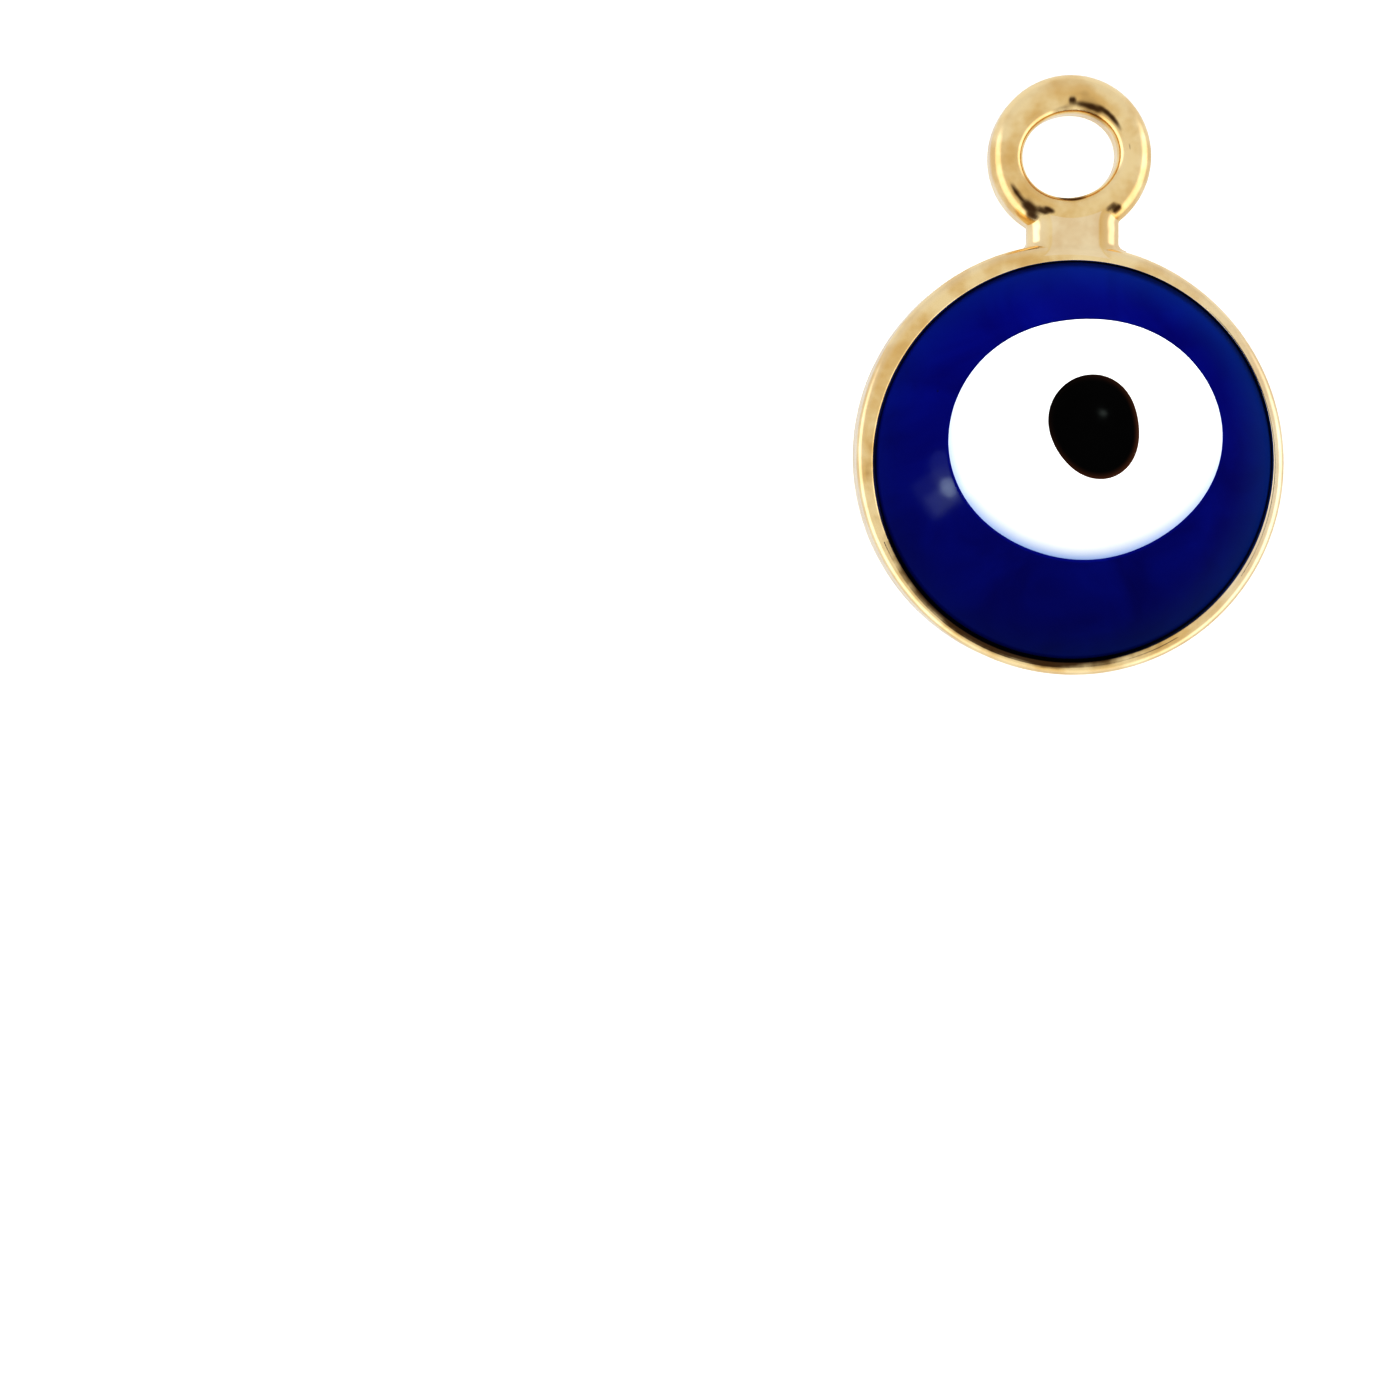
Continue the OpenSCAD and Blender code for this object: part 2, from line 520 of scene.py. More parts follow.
@dataclass(frozen=True)
class PouredEnamel:
    """Epoxy enamel, poured as a drop that sets glossy and slightly domed.

    The eye sees a deep even colour under a clear soft gloss. Pigment lies a
    little uneven, the skin has the faint waves of a liquid that has set, and
    a few specks of dust sit in it. Where the drop runs thin at its edge, what
    is under it shows through. On the blue dome that edge colour is also a
    painted reflection, strongest on one side.
    """

    name: str
    deep: str
    light: str
    # the colour where the drop runs thin; on the blue dome it is also a painted reflection
    thin_edge_and_reflection: str
    thin_edge_and_reflection_share: float = 0.8
    gloss: float = 0.1
    ior: float = 1.5
    roughness: float = 0.09
    roughness_spread: float = 0.05
    # swirls of the pigment, and the values of their noise where the colour is
    # all deep and all light
    swirl: Pattern = Pattern(size_mm=1.3, detail=4.0, roughness=0.5, distortion=0.8)
    swirl_range: tuple[float, float] = (0.3, 0.7)
    wave: Pattern = Pattern(size_mm=1.1, detail=2.0, roughness=0.4, height_mm=0.004)
    # how far apart specks of dust are, the radius of one and of its core as
    # shares of that, how much it covers and how high it stands. Real dust is
    # about 0.02 mm wide, so it is drawn slightly larger to show.
    speck: str = "101010"
    speck_mm: float = 0.9
    speck_size: float = 0.03
    speck_core: float = 0.5
    speck_cover: float = 0.5
    speck_height_mm: float = 0.003

    def build(self) -> bpy.types.Material:
        """Builds the material from swirls, waves, specks and a thin edge.

        Returns:
            The new material.
        """
        material, tree, place = new_material(self.name)
        edge = add_node(tree, "Attribute", attribute_name="thin_edge_and_reflection", attribute_type="GEOMETRY").outputs["Fac"]
        swirl = add_node(tree, "TexNoise", self.swirl.inputs(place)).outputs["Fac"]
        grid = {"Vector": place, "Scale": per_mm(self.speck_mm)}
        cell = add_node(tree, "TexVoronoi", grid).outputs["Distance"]
        core = self.speck_size * self.speck_core
        pigment, _ = Coat(self.light, *self.swirl_range).lay(tree, swirl, linear(self.deep))
        shown, _ = Coat(self.thin_edge_and_reflection, 0.0, 1.0, self.thin_edge_and_reflection_share).lay(tree, edge, pigment)
        colour, dust = Coat(self.speck, self.speck_size, core, self.speck_cover).lay(tree, cell, shown)
        wave = add_node(tree, "TexNoise", self.wave.inputs(place)).outputs["Fac"]
        uneven = {
            "Value": swirl,
            "From Min": self.swirl_range[0],
            "From Max": self.swirl_range[1],
            "To Min": self.roughness - self.roughness_spread / 2,
            "To Max": self.roughness + self.roughness_spread / 2,
        }
        rough = add_node(tree, "MapRange", uneven).outputs["Result"]
        inputs = {
            "Base Color": colour,
            "Roughness": rough,
            "IOR": self.ior,
            "Specular IOR Level": self.gloss,
        }
        close_material(tree, [(wave, self.wave.height_mm), (dust, self.speck_height_mm)], inputs)
        return material


# the teal edge of the blue is the gold under thin enamel and a painted reflection, lighter on the right
COBALT = PouredEnamel(
    name="poured_enamel_cobalt_blue", deep="00015c", light="000d70", thin_edge_and_reflection="08306e", gloss=0.07
)
OPAQUE_WHITE = PouredEnamel(
    name="poured_enamel_opaque_white",
    deep="f4f6fa",
    light="fdfdfd",
    thin_edge_and_reflection="80a4e8",
    speck="b8b4a8",
    speck_size=0.02,
)
LAMP_BLACK = PouredEnamel(
    name="poured_enamel_lamp_black",
    deep="010101",
    light="040404",
    thin_edge_and_reflection="583626",
    thin_edge_and_reflection_share=0.85,
    gloss=0.05,
)


# The gold setting


@dataclass(frozen=True)
class Mark:
    """A painted dark mark, on an arc round the loop's middle.

    Near the hole it is a painted dark reflection, and where the loop meets the
    neck it is painted shade.

    Lengths are in millimetres and angles in degrees.
    """

    radius: float
    width: float
    heading: float
    spread: float
    depth: float = 1.0

    def strength(self, reach: np.ndarray, heading: np.ndarray) -> np.ndarray:
        """Gives how dark the mark is at points.

        It fades with the square of the way across it over its width, and with
        the fourth power of the way along it over its spread.

        Args:
            reach: How far each point is from the middle of the loop.
            heading: In which direction it lies from there.

        Returns:
            The strength at each point, up to the depth of the mark.
        """
        away = (heading - self.heading + 180) % 360 - 180
        return self.depth * np.exp(-(((reach - self.radius) / self.width) ** 2) - (away / self.spread) ** 4)


@dataclass
class GoldSetting:
    """The cup, the hanging loop and the neck between them, cast in one."""

    cup_r: float = 4.0
    cup_h: float = 1.6
    rim_w: float = 0.32
    floor_t: float = 0.6
    back_r: float = 0.35
    floor_corner_r: float = 0.06
    # the casting is a little out of round: its mean radius, the most that it
    # departs from that, and the direction where it is widest
    round_r: float = 3.978
    out_of_round: float = 0.044
    widest: float = math.radians(130)
    # the rim is fully round on one side. On the other it is more round outside
    # and nearly sharp inside.
    rim_round: float = 0.158
    keen_outside: float = 0.2
    keen_inside: float = 0.025
    round_side: float = math.radians(232)
    # how many rows at the crest of the rim take up the move of the pocket
    crest_rows: int = 8
    # a painted highlight lies on the seam round the enamel on one side, and
    # painted shade on another: its width, how strongly and on which side each,
    # and the power that both fade by away from there. The wall has a trace of
    # painted shade too.
    seam_w: float = 0.31
    seam_highlight: float = 2.0
    highlight_side: float = math.radians(-5)
    seam_shade: float = 2.1
    shade_side: float = math.radians(252)
    side_power: int = 4
    wall_shade: float = 0.05
    # how strongly the round edges of each part are rubbed; the whole face of the
    # neck is painted paler too, as a painted highlight
    cup_wear: float = 0.6
    loop_wear: float = 0.2
    neck_wear_and_highlight: float = 0.6
    loop_r: float = 1.5
    loop_y: float = 5.61
    loop_low: float = 0.5
    loop_t: float = 1.0
    # the hole is slightly oval and off the middle: its place, its mean radius,
    # half the difference of its two half widths, and the turn of its long axis
    hole_x: float = -0.03
    hole_mean_r: float = 0.822
    hole_oval: float = 0.055
    hole_turn: float = math.radians(8.8)
    # radii of the round edges of the loop, in front and at the back
    loop_edge_r: float = 0.36
    hole_edge_r: float = 0.2
    loop_back_r: float = 0.22
    hole_back_r: float = 0.42
    # half the width of the neck, how far it stands to the right, and the
    # levels of its faces, which clear those of the loop by a hair
    neck_half: float = 0.85
    neck_x: float = 0.06
    neck_top: float = 1.5005
    neck_low: float = 0.4995
    # radius of the long edges of the neck at the loop and at the cup
    neck_edge_r: float = 0.4
    neck_foot_edge_r: float = 0.28
    # radii of the hollow corners of the neck in plan
    cup_corner_r: float = 0.16
    loop_corner_r: float = 0.1
    # radii of the hollows where the faces of the neck run up to the cup
    ramp_r: float = 0.3
    back_hollow_r: float = 0.15
    # the groove beside the face of the neck: its width and depth at the loop,
    # and how far from the middle of the neck it starts
    groove_w: float = 0.12
    groove_d: float = 0.012
    groove_start: float = 0.35
    # the neck goes on inside the metal: how far into the cup, to which share of
    # its distance from the middle of the loop, and where it closes there
    foot_sunk: float = 0.03
    head_share: float = 0.967
    head_end: float = 1.1
    # how far the face clears the round of the rim, how steeply it falls behind
    # that, how far it lies under the round of the loop, how far inside the loop
    # it starts to sink, and the factor of the square that it sinks by
    face_clear: float = 0.002
    face_fall: float = 0.1
    face_under: float = 0.006
    sink_start: float = 0.2
    sink: float = 0.15
    # points round the cup and the loop, and along and across the neck
    cup_columns: int = 320
    loop_columns: int = 192
    corner_points: int = 22
    straight_points: int = 8
    head_points: int = 4
    edge_points: int = 10
    flat_points: int = 24
    wall_points: int = 6
    # painted dark reflections on the edge of the hole, and painted shade where the loop meets the neck
    painted_dark_marks: tuple[Mark, ...] = (
        Mark(radius=0.93, width=0.065, heading=74, spread=20, depth=0.85),
        Mark(radius=0.99, width=0.055, heading=44, spread=19),
        Mark(radius=1.0, width=0.07, heading=91, spread=4),
        Mark(radius=0.88, width=0.06, heading=106, spread=14, depth=0.6),
        Mark(radius=0.84, width=0.04, heading=85, spread=45, depth=0.5),
        Mark(radius=1.06, width=0.025, heading=8, spread=4, depth=0.7),
        Mark(radius=1.245, width=0.05, heading=-144, spread=12, depth=0.92),
        Mark(radius=1.25, width=0.11, heading=-129, spread=8, depth=1.1),
        Mark(radius=1.33, width=0.09, heading=-123, spread=6, depth=1.1),
        Mark(radius=1.17, width=0.07, heading=-118, spread=6),
        Mark(radius=1.1, width=0.055, heading=-113, spread=6),
        Mark(radius=1.19, width=0.06, heading=-53, spread=6, depth=0.8),
        Mark(radius=1.29, width=0.07, heading=-50, spread=5),
        Mark(radius=0.81, width=0.04, heading=-91, spread=22, depth=0.85),
    )
    finish: CastGold = CastGold()

    def build(self) -> bpy.types.Object:
        """Builds the piece and dresses it.

        Returns:
            The new piece.
        """
        skins = [self.cup(), self.loop(), self.neck()]
        piece = make_piece("charm_setting", skins, "gold_setting")
        piece.data.materials.append(self.finish.build())
        return piece

    def cup(self) -> Skin:
        """Turns the half section of the cup: floor, wall and rim.

        Round the cup the rim goes evenly from its round section to its sharp
        one and back. The inside is moved off the middle. The outside is
        stretched to its mean radius, plus a share that follows the cosine of
        twice the angle from where the cup is widest.

        Returns:
            The skin, painted with its wear, and with painted highlight and shade.
        """
        inner = self.cup_r - self.rim_w
        corners = [
            (0, 0),
            (self.cup_r, 0),
            (self.cup_r, self.cup_h),
            (inner, self.cup_h),
            (inner, self.floor_t),
            (0, self.floor_t),
        ]
        radii = [self.back_r, self.rim_round, self.rim_round, self.floor_corner_r]
        profile, marks = rounded_path(corners, radii, closed=False)
        radii[1:3] = self.keen_outside, self.keen_inside
        keen_profile, _ = rounded_path(corners, radii, closed=False)
        upright = (profile[:, 0] > self.cup_r - SAME_MM) & (marks == 0)
        # the upright wall carries a trace of painted shade
        edge = marks * self.cup_wear - upright * self.wall_shade
        skin = turned(profile, edge, self.cup_columns, "edge")
        keen = turned(keen_profile, edge, self.cup_columns, "edge").points
        angle = headings(self.cup_columns)
        skin.points = between(keen, skin.points, self._roundness(angle)[:, None])
        crest = np.abs(profile[:, 0] - (self.cup_r - self.rim_w / 2)) + np.abs(profile[:, 1] - self.cup_h)
        row = np.arange(len(profile)) - np.argmin(crest)
        inwards = np.clip(row / self.crest_rows + 0.5, 0, 1)[:, None]
        skin.points[..., 0] += POCKET_X * inwards
        skin.points[..., 1] += POCKET_Y * inwards
        skin.points[..., :2] *= (1 + (self._stretch(angle) - 1) * (1 - inwards))[..., None]
        # painted highlight on one side of the seam and painted shade on another
        skin.paint["edge"] = self._seam_light(profile, angle, skin.paint["edge"])
        return skin

    def _seam_light(self, profile: np.ndarray, heading: np.ndarray, edge: np.ndarray) -> np.ndarray:
        """Paints a highlight on the seam round the enamel on one side, and shade on another.

        Both fade evenly over the width of the seam, and with a power of how
        much a heading faces their side.

        Args:
            profile: The section of the cup.
            heading: The angle of each column of the cup.
            edge: How rubbed each point is.

        Returns:
            The same with the painted light of the seam in it.
        """
        start = self.cup_r - self.rim_w
        seam = np.clip((start + self.seam_w - profile[:, :1]) / self.seam_w, 0, 1)
        seam = seam * (profile[:, 1:] > self.cup_h - self.rim_w)
        rubbed_and_highlight = facing(heading, self.highlight_side) ** self.side_power
        shade_share = facing(heading, self.shade_side) ** self.side_power
        painted_light = self.seam_highlight * rubbed_and_highlight - self.seam_shade * shade_share
        return edge * (1 - seam) + seam * painted_light

    def _roundness(self, heading: np.ndarray) -> np.ndarray:
        """Gives how round the rim is at a heading, from 0 to 1."""
        return facing(heading, self.round_side)

    def _stretch(self, heading: np.ndarray) -> np.ndarray:
        """Gives the outer radius of the cup at a heading, over its radius."""
        return (self.round_r + self.out_of_round * np.cos(2 * (heading - self.widest))) / self.cup_r

    def loop(self) -> Skin:
        """Carries the section of the ring round its slightly oval hole.

        At each angle the section is stretched between the hole and the outer
        circle. The radius of the hole is its mean plus its oval share times
        the cosine of twice the angle from its long axis.

        Returns:
            The skin, painted with its wear and with painted dark reflection and shade.
        """
        width = self.loop_r - self.hole_mean_r
        top = self.loop_low + self.loop_t
        corners = [(0, self.loop_low), (width, self.loop_low), (width, top), (0, top)]
        radii = [self.hole_back_r, self.loop_back_r, self.loop_edge_r, self.hole_edge_r]
        section, marks = rounded_path(corners, radii, closed=True)
        angle = headings(self.loop_columns)[:, None]
        hole = self.hole_mean_r + self.hole_oval * np.cos(2 * (angle - self.hole_turn))
        share = section[:, 0] / width
        radius = hole + share * (self.loop_r - hole)
        x = radius * np.cos(angle) + self.hole_x * (1 - share)
        y = self.loop_y + radius * np.sin(angle)
        points = np.stack([x, y, np.broadcast_to(section[:, 1], radius.shape)], axis=-1)
        # the front of the loop gets painted dark reflection and shade
        edge = self._paint_dark_marks(points, np.broadcast_to(marks * self.loop_wear, radius.shape))
        return Skin(points, Rows.LOOP, {"edge": edge})

    def _paint_dark_marks(self, points: np.ndarray, edge: np.ndarray) -> np.ndarray:
        """Paints the dark marks, painted reflection and shade, on the front of the loop and of the neck.

        Args:
            points: The points of a skin.
            edge: How rubbed each of them is.

        Returns:
            The same, less than zero where a dark mark is painted.
        """
        spot = points[..., :2] - np.array([0.0, self.loop_y])
        reach = np.hypot(spot[..., 0], spot[..., 1])
        heading = np.degrees(np.arctan2(spot[..., 1], spot[..., 0]))
        front = points[..., 2] > self.loop_low + self.loop_t - self.neck_edge_r
        for mark in self.painted_dark_marks:
            dark = mark.strength(reach, heading) * front
            edge = edge * (1 - dark) - dark
        return edge

    def neck(self) -> Skin:
        """Carries the flat section of the neck from the cup to the loop.

        Each side runs straight, and at each end it turns outwards on an arc
        that touches the circle it meets. Both ends are hidden in the metal.
        Across the neck the points lie on flat arcs, whose height in the middle
        goes evenly from the cup to the loop.

        Returns:
            The skin, painted with its wear, a painted highlight on its face, and painted dark reflection
            and shade.
        """
        right, right_out, edge_r = self._side(self.neck_half + self.neck_x)
        left, left_out, _ = self._side(self.neck_half - self.neck_x)
        right_in, left_in = right - right_out * edge_r, left - left_out * edge_r
        across, reach, drop, worn_and_highlight = self._across()
        # how much of the right side and of the mirrored left one is in a point
        of_right = ((1 + across) / 2)[:, None]
        of_left = (1 - of_right) * np.array([-1.0, 1.0])
        inset = right_in[:, None] * of_right + left_in[:, None] * of_left
        brim = (right - right_in)[:, None] * of_right + (left - left_in)[:, None] * of_left
        first_y = np.hypot(*right_in[0])
        last_y = self.loop_y - np.hypot(right_in[-1, 0], self.loop_y - right_in[-1, 1])
        share = (right_in[:, 1:] - right_in[0, 1]) / (right_in[-1, 1] - right_in[0, 1])
        middle_y = first_y + (last_y - first_y) * share
        x = inset[..., 0] + reach * brim[..., 0]
        y = middle_y + (inset[..., 1] - middle_y) * across**2 + reach * brim[..., 1]
        top = self._face(x, y) - drop * edge_r
        low = self._back(x, y) + drop * edge_r
        wall = np.linspace(0, 1, self.wall_points + 2)[1:-1]
        points = np.concatenate(
            [
                np.stack([x, y, top], axis=-1),
                self._wall(x[:, -1:], y[:, -1:], top[:, -1:], low[:, -1:], wall),
                np.stack([x, y, low], axis=-1)[:, ::-1],
                self._wall(x[:, :1], y[:, :1], low[:, :1], top[:, :1], wall),
            ],
            axis=1,
        )
        # the ends close on points in the wall of the cup and in the ring
        middle_z = (self.neck_top + self.neck_low) / 2
        first = np.broadcast_to([0.0, self.cup_r - self.rim_w / 2, middle_z], points[:1].shape)
        last = np.broadcast_to([0.0, self.loop_y - self.head_end, middle_z], points[:1].shape)
        points = np.concatenate([first, points, last])
        # the round edges are rubbed, and the flat face carries a painted highlight
        band = np.concatenate([worn_and_highlight, wall * 0, worn_and_highlight[::-1], wall * 0]) * self.neck_wear_and_highlight
        edge = self._paint_dark_marks(points, np.broadcast_to(band, points.shape[:2]))
        return Skin(points, Rows.POLES, {"edge": edge})

    def _across(self) -> tuple[np.ndarray, ...]:
        """Works out a face of the neck across: a round edge, a flat, an edge.

        Returns:
            For each point, its share of the way from the middle to the right,
            the share of the edge's radius that it keeps outwards, the share
            that it drops, and how rubbed it is, which on the flat face is a
            painted highlight.
        """
        arc = np.linspace(0, np.pi / 2, self.edge_points)
        flat = np.linspace(1, -1, self.flat_points + 2)[1:-1]
        ones = np.ones(len(arc))
        # the values on the round edge, and the one on the flat
        curves = ((np.cos(arc), 0.0), (1 - np.sin(arc), 0.0), (np.sin(2 * arc), 1.0))
        rows = (np.concatenate([edge, np.full(len(flat), value), edge[::-1]]) for edge, value in curves)
        return np.concatenate([ones, flat, -ones]), *rows

    @staticmethod
    def _wall(
        x: np.ndarray, y: np.ndarray, start: np.ndarray, stop: np.ndarray, share: np.ndarray
    ) -> np.ndarray:
        """Fills an upright wall between two heights."""
        height = start * (1 - share) + stop * share
        return np.stack(np.broadcast_arrays(x, y, height), axis=-1)

    def _side(self, half: float) -> tuple[np.ndarray, np.ndarray, np.ndarray]:
        """Works out one side of the neck in plan.

        The hollow corner at a circle has its centre on a circle larger by the
        radius of the corner, and beside the neck by the same radius. It
        touches the circle on the line between the two centres.

        Args:
            half: How far the side is from the line between cup and loop.

        Returns:
            The points of the side, the direction out of the metal there, and
            the radius of the neck's long edge there.
        """
        low = np.array([half + self.cup_corner_r, 0.0])
        low[1] = math.sqrt((self.cup_r + self.cup_corner_r) ** 2 - low[0] ** 2)
        high = np.array([half + self.loop_corner_r, 0.0])
        high[1] = self.loop_y - math.sqrt((self.loop_r + self.loop_corner_r) ** 2 - high[0] ** 2)
        low_angle = math.atan2(-low[1], -low[0]) + 2 * math.pi
        high_angle = math.atan2(self.loop_y - high[1], -high[0])
        turn_low = np.linspace(low_angle, math.pi, self.corner_points)[:, None]
        turn_high = np.linspace(math.pi, high_angle, self.corner_points)[:, None]
        spoke_low = np.hstack([np.cos(turn_low), np.sin(turn_low)])
        spoke_high = np.hstack([np.cos(turn_high), np.sin(turn_high)])
        foot = low + spoke_low * self.cup_corner_r
        head = high + spoke_high * self.loop_corner_r
        share = np.linspace(0, 1, self.straight_points + 2)[1:-1, None]
        straight = foot[-1] * (1 - share) + head[0] * share
        outward = np.broadcast_to([1.0, 0.0], straight.shape)
        sunk_foot = foot[:1] * (1 - self.foot_sunk / self.cup_r)
        centre = np.array([0.0, self.loop_y])
        sunk_share = np.linspace(1, self.head_share, self.head_points + 1)[1:, None]
        sunk_head = between(centre, head[-1:], sunk_share)
        sunk_out = -spoke_high[-1:].repeat(self.head_points, 0)
        side = np.vstack([sunk_foot, foot, straight, head, sunk_head])
        out = np.vstack([-spoke_low[:1], -spoke_low, outward, -spoke_high, sunk_out])
        along = np.clip((np.arange(len(side)) - 1) / (self.corner_points - 1), 0, 1)[:, None]
        return side, out, between(self.neck_foot_edge_r, self.neck_edge_r, eased(along))

    def _face(self, x: np.ndarray, y: np.ndarray) -> np.ndarray:
        """Gives the height of the neck's front face.

        It is flat and level with the loop, and sinks under the face of the
        loop by the square of the way in. At both sides a groove parts it from
        the round of the loop, and gets shallow by the square of the way from
        it. Near the cup the face runs up on a hollow arc that touches the
        round rim, on the line between the centres of the two.

        Args:
            x: Places in plan across the neck.
            y: The same, along the neck.

        Returns:
            The height at each place.
        """
        heading = np.arctan2(y, x)
        tube = between(self.keen_outside, self.rim_round, self._roundness(heading))
        tube_r, tube_z = self.cup_r - tube, self.cup_h - tube + self.face_clear
        ramp_z = self.neck_top + self.ramp_r
        ramp_at = tube_r + np.sqrt((self.ramp_r + tube) ** 2 - (ramp_z - tube_z) ** 2)
        touch_r = between(tube_r, ramp_at, tube / (tube + self.ramp_r))
        radius = np.hypot(x, y) / self._stretch(heading)
        inside = np.clip(ramp_at - radius, 0, ramp_at - touch_r)
        rise = self.ramp_r - np.sqrt(self.ramp_r**2 - inside**2)
        over = np.clip(radius - tube_r, 0, touch_r - tube_r)
        fall = self.face_fall * np.maximum(tube_r - radius, 0)
        crest = tube_z + np.sqrt(tube**2 - over**2) - fall
        from_loop = np.hypot(x, y - self.loop_y)
        edge = self.loop_edge_r
        into = np.clip(self.loop_r - from_loop, 0, edge)
        under = edge - np.sqrt(edge**2 - (edge - into) ** 2) + self.face_under
        near = np.clip(1 - (from_loop - self.loop_r) / self.groove_w, 0, 1)
        outer, inner = self.groove_d * near**2, np.minimum(under, self.groove_d)
        groove = np.where(from_loop < self.loop_r, inner, outer)
        beside = (np.abs(x - self.neck_x) - self.groove_start) / (self.neck_half - self.groove_start)
        sink = self.sink * np.maximum(self.loop_r - self.sink_start - from_loop, 0) ** 2
        flat = self.neck_top - sink - groove * eased(np.clip(beside, 0, 1)) + rise
        return np.where(radius < touch_r, crest, flat)

    def _back(self, x: np.ndarray, y: np.ndarray) -> np.ndarray:
        """Gives the height of the neck's back, with a hollow arc at the cup.

        Like the front, it sinks into the loop by the square of the way in.

        Args:
            x: Places in plan across the neck.
            y: The same, along the neck.

        Returns:
            The height at each place.
        """
        hollow = self.back_hollow_r
        away = np.clip(np.hypot(x, y) - self.cup_r, 0, hollow)
        drop = hollow - np.sqrt(hollow**2 - (hollow - away) ** 2)
        from_loop = np.hypot(x, y - self.loop_y)
        sink = self.sink * np.maximum(self.loop_r - self.loop_edge_r - from_loop, 0) ** 2
        return self.neck_low + sink - drop


# The enamel


@dataclass(frozen=True)
class Dome:
    """The sphere that all the enamel follows."""

    edge_r: float = 3.672
    edge_z: float = 1.472
    top_z: float = 2.45
    # how far under the edge the wall of the dome starts, and where it ends
    wall_drop: float = 0.045
    foot_z: float = 0.605
    # mean radius of the round edge, and how much larger it is on the side
    # where the rim is round
    edge_round: float = 0.05
    edge_round_more: float = 0.02

    @property
    def radius(self) -> float:
        """Gives the radius of the sphere from the dome's height and base."""
        height = self.top_z - self.edge_z
        return (self.edge_r**2 + height**2) / (2 * height)

    def height(self, plan: np.ndarray) -> np.ndarray:
        """Gives the height of the sphere over points in plan."""
        centre = self.top_z - self.radius
        return centre + np.sqrt(self.radius**2 - self.reach(plan) ** 2)

    def reach(self, plan: np.ndarray) -> np.ndarray:
        """Gives the distance of points in plan from the middle of the dome."""
        return np.hypot(plan[..., 0] - POCKET_X, plan[..., 1] - POCKET_Y)


@dataclass(frozen=True)
class Wave:
    """Waves round an outline: how many, how high, and the heading of a crest."""

    count: int
    height: float
    crest: float


@dataclass(frozen=True)
class Outline:
    """The edge of a drop in plan: a long round curve with a slight wobble.

    The distance of the edge from the middle is the radius of an ellipse plus
    a few waves. Angles are in degrees.
    """

    x: float
    y: float
    long_r: float
    short_r: float
    turn: float = 0.0
    waves: tuple[Wave, ...] = ()

    @property
    def middle(self) -> np.ndarray:
        """Gives the middle of the outline in plan."""
        return np.array([self.x, self.y])

    def edge(self, angle: np.ndarray) -> np.ndarray:
        """Gives the points of the edge in plan at angles in radians."""
        direction = np.stack([np.cos(angle), np.sin(angle)], axis=-1)
        return self.middle + self.reach(angle)[..., None] * direction

    def reach(self, angle: np.ndarray) -> np.ndarray:
        """Gives the distance from the middle to the edge.

        That of an ellipse is the product of its half widths, over the root of
        the sum of two squares: the short one times the cosine of the angle
        from its long axis, and the long one times the sine.

        Args:
            angle: Angles in radians.

        Returns:
            The distance at each of them.
        """
        turn = angle - math.radians(self.turn)
        root = np.hypot(self.short_r * np.cos(turn), self.long_r * np.sin(turn))
        reach = self.long_r * self.short_r / root
        for wave in self.waves:
            reach = reach + wave.height * np.cos(wave.count * (angle - math.radians(wave.crest)))
        return reach

    def share(self, plan: np.ndarray) -> np.ndarray:
        """Gives how far points lie from the middle, where 1 is the edge."""
        step = plan - self.middle
        return np.hypot(step[..., 0], step[..., 1]) / self.reach(np.arctan2(step[..., 1], step[..., 0]))


